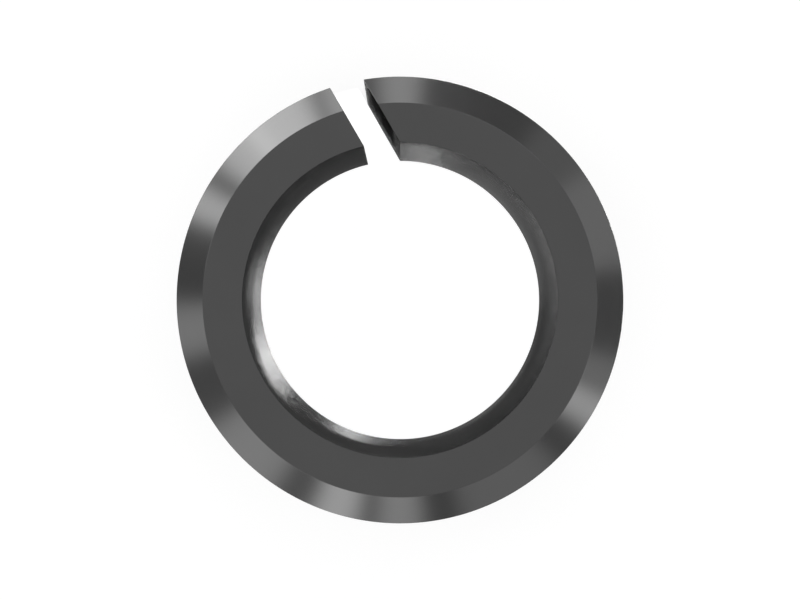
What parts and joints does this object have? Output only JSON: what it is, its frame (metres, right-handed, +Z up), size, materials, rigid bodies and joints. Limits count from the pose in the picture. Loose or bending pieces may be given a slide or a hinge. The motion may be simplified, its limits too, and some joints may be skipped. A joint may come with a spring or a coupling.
{
  "type": "slotted spring pin",
  "caption": "Hollow pin rolled from spring steel, slotted along its whole length and tapered at both ends, that springs tight when driven into a drilled hole.",
  "frame": {"origin": "centre of the lower end face, on the axis of the pin, which stands on that end", "axes": "+Z up the axis to the other end, +Y to the point where the far wall of the slot meets the bore, +X to the right of the slot as seen from above"},
  "size_m": [0.0054, 0.0054, 0.03],
  "materials": {
    "blackened_steel": "dark oxide on spring steel, satin, with fine draw lines along the pin"
  },
  "bodies": {
    "root": {"spring_pin": "blackened_steel"}
  },
  "joints": []
}
